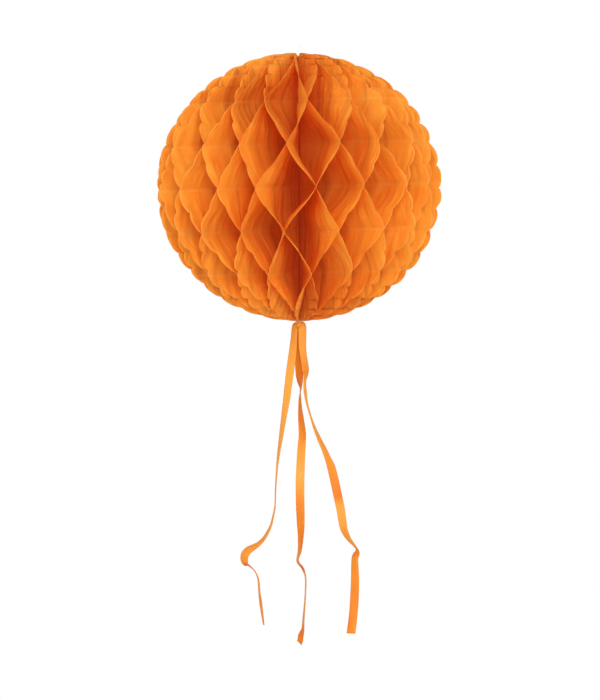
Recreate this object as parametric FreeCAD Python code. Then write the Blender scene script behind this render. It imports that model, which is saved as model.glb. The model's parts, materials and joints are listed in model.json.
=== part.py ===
import FreeCAD, Part
import math
import os

# Opened tissue-paper honeycomb ball that hangs from a filament loop, with three ribbons
# hanging from its bottom pole. Millimetres, +Z up, front of the ball towards -Y.
# Origin: the hanging point, inside the top of the hanging loop, on the ball's axis.
# Azimuths are degrees from the front, positive towards +X.

# ---- hanging loop and knots ----
LOOP_HEIGHT = 34.0        # hanging point to the top knot's centre
LOOP_HALF_WIDTH = 6.0     # scale of the teardrop's half width
LOOP_TAPER = 0.35         # how strongly the loop narrows towards the knot
LOOP_SPANS = 24           # spans between the loop's points
LOOP_END_GAP = 0.6        # top of the knot to the filament, less the filament radius
STRAND_OFFSET = 0.45      # each strand from the axis at the loop's bottom
FILAMENT_R = 0.22
KNOT_R = 1.5
KNOT_WAIST_DEPTH = 0.16   # fraction of the radius lost at the knot's middle
KNOT_WAIST_SPREAD = 0.22  # height of the waist, as a fraction of the knot radius
KNOT_STEPS = 16           # steps from the knot's bottom to its top
BOTTOM_KNOT_RISE = 2.2    # bottom knot above the ball's nominal bottom
THREAD_R = 0.35           # spine thread radius
THREAD_INSET = 4.0        # thread ends inside the ball's nominal top and bottom

# ---- ball ----
BALL_R = 150.0            # equatorial radius over the scallop tips
BALL_H = 141.0            # half height over the scallop tips (gravity flattens it a little)
POLE_GAP = 5.0            # top knot to the ball's nominal top
N_LEAVES = 36             # tissue leaves round the axis
GLUE_PITCH = 44.6         # height between glue lines
LEAF_T = 0.04             # tissue thickness
LEAF_GAP = 0.01           # half of the gap left for the glue film
CORE_R = 3.0              # straight inner edge of a leaf, from the axis
END_CORE_R = 12.0         # the same on the two leaves glued to the boards
CORE_CLEARANCE = 0.4      # rim points closer to the inner edge than this are left out
N_SCALLOPS = 18           # full scallops on a leaf's rim
SCALLOP_ARC = 9.23        # degrees of rim per scallop
SCALLOP_DEPTH = 4.0       # notch depth
POLE_DIP = 3.0            # dimple at each pole
QUARTERS = (0.0, 0.25, 0.5, 0.75)   # where each rim arc is sampled

# ---- cover boards and closing tape ----
SEAM_AZIMUTH = 185.0      # where the two boards meet (back of the ball)
BOARD_T = 0.4             # board thickness
BOARD_GAP = 0.12          # board face to the seam plane
BOARD_CLEARANCE = 0.01    # board to the end leaf, besides the glue gap
BOARD_R = 140.0           # board radius
BOARD_H = 131.0           # board half height
BOARD_CORE_R = 11.0       # board's straight edge, from the axis
BOARD_STEPS = 48          # steps round the half ellipse
TAPE_T = 0.20             # tape pad thickness
TAPE_HALF_WIDTH = 9.0     # along the radius
TAPE_HALF_HEIGHT = 16.0
TAPE_CENTRES = ((70.0, 88.0), (110.0, 0.0), (70.0, -88.0))  # (radius, z from ball centre)

# ---- ribbons ----
RIBBON_W = 9.2
RIBBON_T = 0.10
NECK_W = 4.0              # width where it is gathered in the tie
SHOULDER_W = 0.85 * RIBBON_W   # width at the first station below the neck
TIE_R = 4.4               # inside radius of the thread ring round the ribbon tops
TIE_T = 0.4               # ring's radial thickness
TIE_HALF_H = 0.4          # ring's half height
TIE_CUT_HALF_H = 1.0      # half height of the cylinder that bores it
TIE_DROP = 141.9          # ball centre down to the ring

# ---- worked out ----
KNOT_Z = -LOOP_HEIGHT
BALL_Z = KNOT_Z - POLE_GAP - BALL_H      # height of the ball's centre
BALL_BOTTOM = BALL_Z - BALL_H
POLE_ARC = (180.0 - N_SCALLOPS * SCALLOP_ARC) / 2   # rim degrees from a pole to a scallop
GLUE_LEVELS = [n * GLUE_PITCH for n in range(3, -4, -1)]   # from the ball's centre

# Azimuths of the glue planes between neighbouring leaves, from one side of the seam round
# to the other. They are 10 degrees apart but for how the paper settles.
PLANE_AZIMUTHS = [
    SEAM_AZIMUTH - 360, -165.3, -154.8, -145.4, -134.7, -125.2, -115.0, -104.7, -94.9,
    -85.0, -75.5, -65.5, -55.6, -45.3, -35.6, -26.4, -17.5, -5.2, 6.2, 16.8,
    27.6, 36.9, 47.4, 55.5, 64.6, 73.5, 84.0, 94.6, 105.3, 114.8,
    125.1, 134.6, 145.3, 155.2, 164.8, 175.1, SEAM_AZIMUTH,
]

# Ribbon centre-lines: (x, y, z from the ball's centre, turn of the width about the run, in
# degrees). A turn of 0 shows the ribbon's full width to the front; 90 shows its edge.
RIBBON_PATHS = {
    "ribbon_left": [
        (-1.1, 0, -141.2, 0), (-1.1, 0, -144.9, 0), (-4.6, -1.5, -147.9, 40),
        (-5.6, -2.4, -155.8, 45), (-6.9, -3, -171.6, 33), (-9.4, -3.4, -191.6, 24),
        (-11.6, -3.6, -208.6, 31), (-13.3, -3.6, -222.4, 36), (-16, -3.6, -240.1, 49),
        (-19.6, -3.4, -264.4, 62), (-23.1, -3.2, -288.6, 74), (-24.6, -3, -306.9, 81),
        (-25.4, -2.8, -321.6, 84), (-25.7, -2.8, -333.3, 84), (-26.5, -2.8, -340.7, 82),
        (-29.8, -3, -355.4, 77), (-32.8, -3.2, -362.8, 73), (-37, -3.6, -370.2, 69),
        (-42.6, -4.2, -376.4, 63), (-48.8, -4.8, -380.6, 50), (-54.5, -5.4, -384.2, 32),
        (-57.9, -5.8, -389.2, 23), (-58.2, -5.9, -395.1, 34), (-56.6, -5.4, -399.2, 57),
        (-53.7, -4.6, -400.2, 75), (-49.9, -4.2, -403.3, 79), (-46.8, -4, -407, 81),
        (-44.4, -4, -412.5, 79), (-43.3, -4, -418.8, 77), (-42.6, -4, -429.7, 75),
        (-41.6, -4, -436.8, 70), (-40.7, -4, -444.6, 70), (-38.6, -4, -459.4, 78),
        (-37.9, -4, -463.5, 84),
    ],
    "ribbon_centre": [
        (0, 1, -141.2, 0), (0, 1, -144.9, 0), (-0.4, 2.7, -147.9, 18), (-0.4, 3.8, -166.4, 14),
        (-0.2, 4.4, -184.3, 20), (0.1, 4.8, -197, 30), (0.6, 5, -205.5, 50),
        (1.1, 5, -212.8, 78), (0.4, 5, -222.4, 105), (0.7, 5, -232.9, 115),
        (1.3, 5, -240.3, 125), (3, 5, -257.2, 143), (3.2, 5, -264.6, 148),
        (2.1, 4.9, -279.4, 159), (1.3, 4.8, -296.3, 168), (0.9, 4.6, -311.1, 179),
        (1, 4.4, -333.3, 188), (1.7, 4.3, -355.4, 207), (1.8, 4.2, -370.2, 228),
        (0.9, 4.2, -385, 244), (-1, 4, -392.7, 254), (-0.8, 3.8, -397.7, 250),
        (3.2, 3.6, -402.6, 250), (5.5, 3.5, -407.5, 254), (7.2, 3.4, -414.6, 262),
        (7, 3.4, -429.4, 264), (6.1, 3.4, -444.2, 261), (4.9, 3.5, -459, 257),
        (4.2, 3.7, -469.5, 251), (2, 3.8, -475.9, 233), (1.2, 3.9, -481.1, 231),
        (-0.1, 4, -485.4, 236),
    ],
    "ribbon_right": [
        (1.1, -1, -141.2, 0), (1.1, -1, -144.9, 0), (3.2, -1.9, -147.9, -18),
        (3.6, -1.6, -166.4, -32), (4.6, -1.8, -176.9, -40), (6.8, -2, -190.7, -40),
        (7.2, -2, -197, -55), (6.2, -2, -205.5, -71), (6.7, -2, -216, -69),
        (8.7, -2.1, -228.2, -77), (12, -2.2, -240.1, -80), (16, -2.4, -252.4, -73),
        (21.1, -2.7, -265.1, -63), (26.5, -3.1, -276.8, -55), (30.3, -3.4, -286.3, -44),
        (34, -3.8, -296.3, -20), (37.6, -4.2, -311.1, -4), (40.8, -4.5, -325.9, 2),
        (43.9, -4.5, -340.7, 10), (46.1, -4.4, -355.4, 24), (47.8, -4.3, -362.8, 36),
        (51.4, -4.2, -370.4, 52), (55.1, -4.1, -375.5, 62), (58.6, -4, -379.7, 71),
        (61, -4, -383.4, 71), (61, -4.1, -386.6, 54), (59.5, -4.2, -390.3, 42),
        (58.8, -4.3, -395.6, 39), (59.1, -4.6, -414.6, 21), (58.7, -4.8, -429.4, 12),
        (57.9, -5, -444.2, 8), (56.5, -5, -459.4, 3), (54.8, -5, -472.9, 0),
    ],
}

Vector = FreeCAD.Vector


# ---- meshes and thin sheets ----
def cross(origin, first, second):
    """Twice the signed area of a flat triangle."""
    return ((first[0] - origin[0]) * (second[1] - origin[1])
            - (first[1] - origin[1]) * (second[0] - origin[0]))


def clip_ears(poly):
    """Triangles of a simple polygon, as index triples; the best-shaped ear goes first."""
    left = list(range(len(poly)))
    if sum(cross((0, 0), poly[i - 1], poly[i]) for i in left) < 0:
        left.reverse()
    triangles = []
    while len(left) > 3:
        best = None
        for n in range(len(left)):
            ear = (left[n - 1], left[n], left[(n + 1) % len(left)])
            corners = [poly[i] for i in ear]
            sides = list(zip(corners, corners[1:] + corners[:1]))
            turn = cross(*corners)
            if turn <= 1e-9:
                continue
            if any(
                all(cross(start, end, poly[m]) >= -1e-9 for start, end in sides)
                for m in left if m not in ear
            ):
                continue
            quality = turn / max(math.dist(start, end) for start, end in sides) ** 2
            if best is None or quality > best[0]:
                best = (quality, n, ear)
        if best is None:
            raise ValueError("a leaf band can't be cut into triangles")
        triangles.append(best[2])
        left.pop(best[1])
    triangles.append(tuple(left))
    return triangles


def solid_of(points, triangles):
    """A closed solid from points and triangles."""
    faces = []
    for triangle in triangles:
        a, b, c = (points[i] for i in triangle)
        if (b - a).cross(c - a).Length < 1e-9:
            continue
        faces.append(Part.Face(Part.makePolygon([a, b, c, a])))
    shell = Part.makeShell(faces)
    shell.sewShape()
    # sewing may wrap the shell in a compound
    solid = Part.makeSolid(shell if shell.ShapeType == "Shell" else shell.Shells[0])
    if solid.Volume < 0:
        solid.reverse()
    if not solid.isValid() or solid.Volume <= 0:
        raise ValueError("a solid isn't valid")
    return solid


def sheet(middle, normals, thickness, triangles, boundary):
    """A thin solid about a triangulated sheet, closed round its boundary loop."""
    half = thickness / 2
    front = [point + normal * half for point, normal in zip(middle, normals)]
    back = [point - normal * half for point, normal in zip(middle, normals)]
    n = len(front)
    skin = triangles + [(a + n, c + n, b + n) for a, b, c in triangles]
    for i, j in zip(boundary, boundary[1:] + boundary[:1]):
        skin += [(j, i, i + n), (j, i + n, j + n)]
    return solid_of(front + back, skin)


# ---- tissue leaves ----
def azimuth(degrees):
    """Outward unit vector at an azimuth, and the tangent towards greater azimuths."""
    angle = math.radians(degrees)
    outward = Vector(math.sin(angle), -math.cos(angle), 0)
    return outward, Vector(math.cos(angle), math.sin(angle), 0)


def rim_radius(polar):
    """Ball centre to the scalloped rim, at polar degrees from the top pole."""
    angle = math.radians(polar)
    base = 1.0 / math.sqrt((math.sin(angle) / BALL_R) ** 2 + (math.cos(angle) / BALL_H) ** 2)
    from_pole = min(polar, 180 - polar)
    if from_pole < POLE_ARC:
        across = 2 * from_pole / POLE_ARC - 1
        return base - (POLE_DIP if across < 0 else SCALLOP_DEPTH) * across**2
    across = 2 * (((polar - POLE_ARC) / SCALLOP_ARC) % 1.0) - 1
    return base - SCALLOP_DEPTH * across**2


def rim_points(core):
    """(radius, z) down the rim from top to bottom, z from the ball's centre."""
    polars = [POLE_ARC * q for q in QUARTERS]
    polars += [POLE_ARC + SCALLOP_ARC * (s + q) for s in range(N_SCALLOPS) for q in QUARTERS]
    polars += [180 - POLE_ARC * (1 - q) for q in QUARTERS] + [180.0]
    rim = []
    for polar in polars:
        distance, angle = rim_radius(polar), math.radians(polar)
        radius = round(distance * math.sin(angle), 6)
        if radius > core + CORE_CLEARANCE:
            rim.append((radius, round(distance * math.cos(angle), 6)))
    # ordinary leaves end at the pole's height, the two end leaves at their last rim point
    top, bottom = rim[0][1], rim[-1][1]
    if core == CORE_R:
        top, bottom = rim_radius(0.0), -rim_radius(180.0)
    return [(core, top)] + rim + [(core, bottom)]


def bands(core):
    """The leaf's outline cut at the glue lines: a list of (radius, z) polygons."""
    rim = rim_points(core)
    polygons, current, level = [], [rim[0]], 0
    for upper, lower in zip(rim, rim[1:]):
        while level < len(GLUE_LEVELS) and upper[1] > GLUE_LEVELS[level] >= lower[1]:
            z = GLUE_LEVELS[level]
            fraction = (upper[1] - z) / (upper[1] - lower[1])
            cut = (upper[0] + (lower[0] - upper[0]) * fraction, z)
            polygons.append(current + [cut, (core, z)])
            current = [(core, z), cut]
            level += 1
        if abs(lower[1] - current[-1][1]) + abs(lower[0] - current[-1][0]) > 1e-6:
            current.append(lower)
    polygons.append(current)
    return polygons


def leaf_mesh(core):
    """The flat leaf as (radius, z) points, triangles and a boundary loop."""
    points, index, triangles = [], {}, []
    for polygon in bands(core):
        ids = []
        for point in polygon:
            key = (round(point[0], 6), round(point[1], 6))
            if key not in index:
                index[key] = len(points)
                points.append(point)
            ids.append(index[key])
        triangles += [tuple(ids[i] for i in ear) for ear in clip_ears(polygon)]
    edges = [edge for t in triangles for edge in zip(t, t[1:] + t[:1])]
    known = set(edges)
    follow = {a: b for a, b in edges if (b, a) not in known}   # edges with no neighbour
    start = next(iter(follow))
    loop = [start]
    while follow[loop[-1]] != start:
        loop.append(follow[loop[-1]])
    return points, triangles, loop


def leaf(k):
    """Leaf k (1 to N_LEAVES) runs to and fro between glue planes k-1 and k."""
    flat, triangles, loop = leaf_mesh(END_CORE_R if k in (1, N_LEAVES) else CORE_R)
    low_plane, high_plane = PLANE_AZIMUTHS[k - 1], PLANE_AZIMUTHS[k]
    low_inset = high_inset = LEAF_T / 2 + LEAF_GAP
    board_room = BOARD_GAP + BOARD_T + BOARD_CLEARANCE
    if k == 1:
        low_inset += board_room
    if k == N_LEAVES:
        high_inset += board_room
    middle, normals = [], []
    for radius, z in flat:
        wave = abs((z / GLUE_PITCH + 1) % 2 - 1)       # 0 on even glue levels, 1 on odd
        share = wave if k % 2 == 1 else 1 - wave       # 0 on plane k-1, 1 on plane k
        outward, tangent = azimuth(low_plane + (high_plane - low_plane) * share)
        shift = low_inset * (1 - share) - high_inset * share
        middle.append(outward * radius + tangent * shift + Vector(0, 0, BALL_Z + z))
        normals.append(tangent)
    return sheet(middle, normals, LEAF_T, triangles, loop)


# ---- cover boards and tape ----
def seam_plate(outline, offset, thickness):
    """A (radius, z) outline parallel to the seam plane, thickened along the tangent."""
    outward, tangent = azimuth(SEAM_AZIMUTH)
    points = [outward * r + Vector(0, 0, BALL_Z + z) + tangent * offset for r, z in outline]
    return Part.Face(Part.makePolygon(points + points[:1])).extrude(tangent * thickness)


def board(side):
    """Half-ellipse cover board: side +1 lies by leaf 1, side -1 by the last leaf."""
    corner_z = BOARD_H * math.sqrt(1 - (BOARD_CORE_R / BOARD_R) ** 2)
    outline = [(BOARD_CORE_R, corner_z)]
    for n in range(1, BOARD_STEPS):
        angle = math.pi * n / BOARD_STEPS
        radius = BOARD_R * math.sin(angle)
        if radius > BOARD_CORE_R + 1:
            outline.append((radius, BOARD_H * math.cos(angle)))
    outline.append((BOARD_CORE_R, -corner_z))
    return seam_plate(outline, side * BOARD_GAP, side * BOARD_T)


def closing_tape():
    """Three tape pads on board a, between the two boards."""
    pads = []
    for radius, z in TAPE_CENTRES:
        inner, outer = radius - TAPE_HALF_WIDTH, radius + TAPE_HALF_WIDTH
        low, high = z - TAPE_HALF_HEIGHT, z + TAPE_HALF_HEIGHT
        outline = [(inner, low), (outer, low), (outer, high), (inner, high)]
        pads.append(seam_plate(outline, BOARD_GAP - TAPE_T, TAPE_T))
    return Part.makeCompound(pads)


# ---- threads, knots and loop ----
def lathe(profile, z):
    """A solid of revolution about the axis from (radius, height) points, raised by z."""
    profile = [(0, profile[0][1])] + profile + [(0, profile[-1][1])]
    points = [Vector(radius, 0, height) for radius, height in profile]
    face = Part.Face(Part.makePolygon(points + points[:1]))
    solid = face.revolve(Vector(0, 0, 0), Vector(0, 0, 1), 360)
    solid.translate(Vector(0, 0, z))
    return solid


def knot(z):
    """A small overhand knot, as two stacked rounds."""
    profile = []
    for n in range(1, KNOT_STEPS):
        angle = math.pi * n / KNOT_STEPS
        height = math.cos(angle)
        waist = 1 - KNOT_WAIST_DEPTH * math.exp(-((height / KNOT_WAIST_SPREAD) ** 2))
        profile.append((KNOT_R * math.sin(angle) * waist, KNOT_R * height))
    return lathe(profile, z)


def spine_thread():
    """The straight thread on the ball's axis."""
    length = 2 * (BALL_H - THREAD_INSET)
    return Part.makeCylinder(THREAD_R, length, Vector(0, 0, BALL_BOTTOM + THREAD_INSET))


def hanging_loop():
    """A teardrop loop of clear filament: its inside top is the hanging point."""
    top = FILAMENT_R
    bottom = KNOT_Z + KNOT_R + LOOP_END_GAP + FILAMENT_R
    # the two strands leave the knot side by side
    points = [Vector(-STRAND_OFFSET, 0, bottom)]
    for n in range(1, LOOP_SPANS):
        angle = -math.pi + 2 * math.pi * n / LOOP_SPANS
        taper = (0.5 + 0.5 * math.cos(angle)) ** LOOP_TAPER
        z = (top + bottom) / 2 + (top - bottom) / 2 * math.cos(angle)
        points.append(Vector(LOOP_HALF_WIDTH * math.sin(angle) * taper, 0, z))
    points.append(Vector(STRAND_OFFSET, 0, bottom))

    curve = Part.BSplineCurve()
    curve.interpolate(points, PeriodicFlag=False)
    tangent = curve.tangent(curve.FirstParameter)[0]
    section = Part.Wire([Part.makeCircle(FILAMENT_R, points[0], tangent)])
    return Part.Wire([curve.toShape()]).makePipeShell([section], True, True)


# ---- ribbons ----
def ribbon(stations):
    """A twisting ribbon with two edge points at each station."""
    n = len(stations)
    middle, normals = [], []
    for i, (x, y, z, turn) in enumerate(stations):
        before, after = stations[max(i - 1, 0)], stations[min(i + 1, n - 1)]
        along = (Vector(*after[:3]) - Vector(*before[:3])).normalize()
        depth = Vector(0, 1, 0)
        depth = (depth - along * depth.dot(along)).normalize()
        sideways = depth.cross(along).normalize()
        angle = math.radians(turn)
        across = sideways * math.cos(angle) + depth * math.sin(angle)
        width = NECK_W if i < 2 else SHOULDER_W if i == 2 else RIBBON_W
        for side in (-1, 1):
            middle.append(Vector(x, y, BALL_Z + z) + across * (width / 2 * side))
            normals.append(across.cross(along).normalize())
    triangles = []
    for a in range(0, 2 * n - 2, 2):
        triangles += [(a, a + 1, a + 3), (a, a + 3, a + 2)]
    # down one edge and back up the other
    loop = [0] + list(range(1, 2 * n, 2)) + list(range(2 * n - 2, 0, -2))
    return sheet(middle, normals, RIBBON_T, triangles, loop)


def ribbon_tie():
    """A thread ring round the gathered ribbon tops."""
    outer_r, z = TIE_R + TIE_T, BALL_Z - TIE_DROP
    ring = lathe([(outer_r, TIE_HALF_H), (outer_r, -TIE_HALF_H)], z)
    hole = lathe([(TIE_R, TIE_CUT_HALF_H), (TIE_R, -TIE_CUT_HALF_H)], z)
    return ring.cut(hole)


def save(name, shape):
    shape.exportStep("parts/" + name + ".step")


os.makedirs("parts", exist_ok=True)
for k in range(1, N_LEAVES + 1):
    save("tissue_leaf_%02d" % k, leaf(k))
save("cover_board_a", board(1))
save("cover_board_b", board(-1))
save("closing_tape", closing_tape())
save("spine_thread", spine_thread())
save("top_knot", knot(KNOT_Z))
save("bottom_knot", knot(BALL_BOTTOM + BOTTOM_KNOT_RISE))
save("hanging_loop", hanging_loop())
save("ribbon_tie", ribbon_tie())
for name, path in RIBBON_PATHS.items():
    save(name, ribbon(path))
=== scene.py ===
# A hanging honeycomb ball of orange tissue paper: 36 scalloped leaves glued to one another
# round an upright thread, two card covers at the seam, a clear loop above and three paper
# ribbons below. Its axis is +Z; the front is -Y and the right is +X. The fan folds about
# the axis.
# Lengths are millimetres about the ball's centre unless a comment says metres.
import json
import math
from functools import cache

import bpy
import numpy as np
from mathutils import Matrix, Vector

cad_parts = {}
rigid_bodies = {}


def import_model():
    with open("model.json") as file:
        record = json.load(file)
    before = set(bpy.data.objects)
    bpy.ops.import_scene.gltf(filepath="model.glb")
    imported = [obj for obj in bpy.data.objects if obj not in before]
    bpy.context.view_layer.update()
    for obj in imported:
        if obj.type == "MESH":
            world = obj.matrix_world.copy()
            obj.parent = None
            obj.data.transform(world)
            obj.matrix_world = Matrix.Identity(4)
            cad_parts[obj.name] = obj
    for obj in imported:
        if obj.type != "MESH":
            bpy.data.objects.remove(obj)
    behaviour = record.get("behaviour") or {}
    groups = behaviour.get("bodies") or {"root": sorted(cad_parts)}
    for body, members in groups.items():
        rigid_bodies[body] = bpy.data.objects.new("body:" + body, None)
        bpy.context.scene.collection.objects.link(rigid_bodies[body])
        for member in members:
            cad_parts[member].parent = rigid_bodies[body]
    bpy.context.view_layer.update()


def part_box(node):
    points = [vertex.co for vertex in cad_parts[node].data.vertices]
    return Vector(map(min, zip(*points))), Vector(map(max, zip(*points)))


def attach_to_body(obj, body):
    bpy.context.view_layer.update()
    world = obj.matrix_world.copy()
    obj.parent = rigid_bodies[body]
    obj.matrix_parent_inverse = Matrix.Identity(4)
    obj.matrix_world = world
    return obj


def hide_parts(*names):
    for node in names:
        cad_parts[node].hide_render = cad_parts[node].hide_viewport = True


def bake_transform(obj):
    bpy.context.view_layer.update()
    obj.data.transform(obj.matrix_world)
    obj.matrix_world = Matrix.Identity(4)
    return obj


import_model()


def box(node):
    """Centre and half size of a node's box, in metres."""
    low, high = (np.array(corner, float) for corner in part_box(node))
    return (low + high) / 2, (high - low) / 2


# ------------------------------------------------------------------ sizes
MM = 0.001
CZ = float(box("spine_thread")[0][2])            # height of the ball's centre, metres

BALL_R, BALL_H = 150.0, 141.0                    # half width and half height
PITCH = 44.6                                     # between glue levels
CORE_R, END_CORE_R = 1.0, 11.2                   # inner edge of a leaf, and of the two end leaves
SCALLOPS, SCALLOP_ARC, SCALLOP_DEPTH = 18, 9.23, 4.0       # arc in degrees
CAP_ARC = (180.0 - SCALLOPS * SCALLOP_ARC) / 2   # degrees from a pole to the first scallop
TOP_DIP, BOTTOM_DIP = 0.8, 3.0                   # how far the rim dips at each pole
CARD = 0.53                                      # card and its gap, beside the seam
SHEET_T = 0.09
FRONT = 5.0                                      # azimuth, in degrees, at which the leaves' swirl is strongest
# azimuths of the glue planes in degrees: 0 faces the front, 90 the right
PLANES = [
    -175.0, -165.3, -154.8, -145.4, -134.7, -125.2, -115.0, -104.7, -94.9, -85.0,
    -75.5, -65.5, -55.6, -45.3, -35.6, -26.4, -17.5, -5.2, 6.2, 16.8,
    27.6, 36.9, 47.4, 55.5, 64.6, 73.5, 84.0, 94.6, 105.3, 114.8,
    125.1, 134.6, 145.3, 155.2, 164.8, 175.1, 185.0,
]
LEAVES = len(PLANES) - 1                         # leaf k lies between planes k - 1 and k
GLUE = 0.9                                       # half width of a glue line
RIPPLE, PLEAT, CURL = 0.42, 0.16, 0.80           # sideways relief between glue lines
RIPPLE_WAVES = ((27.0, 0.55), (15.0, 0.45), (9.5, 0.55))   # wavelength, weight
EASE = 0.10                                      # how much the folds flatten beside a glue line
TILT = 0.032                                     # slope of the glue lines, downhill to the left
NODE_SCATTER = 2.3                               # wander of glue nodes on the rim, degrees
LEAF_GAP = 0.072                                 # offset of a leaf from its glue planes


# ------------------------------------------------------------------ node helpers
class Nodes:
    """A new material and short ways to add nodes to it."""

    def __init__(self, name):
        self.mat = bpy.data.materials.new(name)
        self.mat.use_nodes = True
        self.tree = self.mat.node_tree
        self.tree.nodes.clear()
        self.out = self.tree.nodes.new("ShaderNodeOutputMaterial")

    def set(self, socket, value):
        if isinstance(value, bpy.types.NodeSocket):
            self.tree.links.new(value, socket)
        else:
            socket.default_value = value

    def add(self, kind, **values):
        """Add a node; each value goes to the input of that name, or else to the property."""
        node = self.tree.nodes.new("ShaderNode" + kind)
        for key, value in values.items():
            socket = key.replace("_", " ")
            if socket in node.inputs:
                self.set(node.inputs[socket], value)
            else:
                setattr(node, key, value)
        return node

    def math(self, operation, *values, clamp=False):
        node = self.add("Math", operation=operation, use_clamp=clamp)
        for socket, value in zip(node.inputs, values):
            self.set(socket, value)
        return node.outputs[0]

    def above(self, value, level, gain, clamp=True):
        """How far a value is above a level, times a gain."""
        return self.math("MULTIPLY", self.math("SUBTRACT", value, level, clamp=True), gain,
                         clamp=clamp)

    def below(self, value, level, gain):
        """How far a value is below a level, times a gain."""
        return self.above(level, value, gain)

    def mix(self, factor, first, second, blend="MIX"):
        node = self.add("Mix", data_type="RGBA", blend_type=blend, Factor=factor)
        colours = [s for s in node.inputs if s.type == "RGBA"]
        self.set(colours[0], first)
        self.set(colours[1], second)
        return next(s for s in node.outputs if s.type == "RGBA")

    def ramp(self, factor, stops):
        node = self.add("ValToRGB", Fac=factor)
        elements = node.color_ramp.elements
        while len(elements) < len(stops):
            elements.new(0.5)
        for element, (position, colour) in zip(elements, stops):
            element.position = position
            element.color = colour if len(colour) == 4 else (*colour, 1.0)
        return node.outputs["Color"]

    def attr(self, name, output="Fac"):
        return self.add("Attribute", attribute_name=name).outputs[output]

    def place(self):
        return self.add("TexCoord").outputs["Object"]

    def mapping(self, vector, scale):
        return self.add("Mapping", Vector=vector, Scale=scale).outputs["Vector"]

    def noise(self, vector, scale=1.0, detail=3.0, rough=0.55, stretch=None):
        if stretch is not None:
            vector = self.mapping(vector, stretch)
        node = self.add("TexNoise", Vector=vector, Scale=scale, Detail=detail, Roughness=rough)
        return node.outputs["Fac"]

    def bump(self, height, strength, distance, **under):
        node = self.add("Bump", Height=height, Strength=strength, Distance=distance, **under)
        return node.outputs["Normal"]

    def join(self, kind, first, second, **values):
        """Mix or add two shaders, which are the node's last two inputs."""
        node = self.add(kind, **values)
        self.set(node.inputs[-2], first)
        self.set(node.inputs[-1], second)
        return node.outputs[0]

    def finish(self, shader):
        self.set(self.out.inputs["Surface"], shader)
        return self.mat

    def solid(self, colour, rough, normal):
        node = self.add("BsdfPrincipled", Base_Color=colour, Roughness=rough, Normal=normal)
        return self.finish(node.outputs[0])

    def thin_sheet(self, colour, normal, translucent, rough, through):
        """A dyed sheet: a matt face, and light that comes through it."""
        face = self.add("BsdfPrincipled", Base_Color=colour, Roughness=rough,
                        Specular_IOR_Level=0.22, Normal=normal)
        thin = self.add("BsdfTranslucent", Color=through, Normal=normal)
        return self.join("MixShader", face.outputs[0], thin.outputs[0], Fac=translucent)


def srgb(*levels):
    """Linear colour from sRGB levels of 0 to 255."""
    shares = [level / 255 for level in levels]
    return tuple(s / 12.92 if s <= 0.04045 else ((s + 0.055) / 1.055) ** 2.4
                 for s in shares) + (1.0,)


# ------------------------------------------------------------------ materials
TISSUE = (0.94, 0.425, 0.038, 1.0)
TISSUE_DEEP = (0.92, 0.325, 0.026, 1.0)
# painted shade for the pleats' creases
TISSUE_PAINTED_CREASE_SHADE = (0.50, 0.120, 0.014, 1.0)
TISSUE_PALE = (0.95, 0.52, 0.068, 1.0)
# paler colour: painted highlight for the cut rim, also laid on the glue lines
TISSUE_RIM_HIGHLIGHT_AND_GLUE = (0.95, 0.58, 0.110, 1.0)
TISSUE_THROUGH = (0.93, 0.38, 0.034, 1.0)        # light that has come through a leaf
PAINTED_GLOW = 0.035                                     # strength of the painted glow: the deepest paper is made to emit light
PAINTED_GLOW_COLOUR = (1.0, 0.26, 0.075, 1.0)
RIBBON = srgb(226, 133, 35)
# lit and shaded copies of the ribbon's colour: painted light and shade
RIBBON_PAINTED_LIGHT = srgb(236, 165, 66)
RIBBON_PAINTED_SHADE = srgb(212, 95, 14)
RIBBON_DEEP = srgb(221, 118, 25)
RIBBON_PALE = srgb(232, 156, 58)


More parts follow.
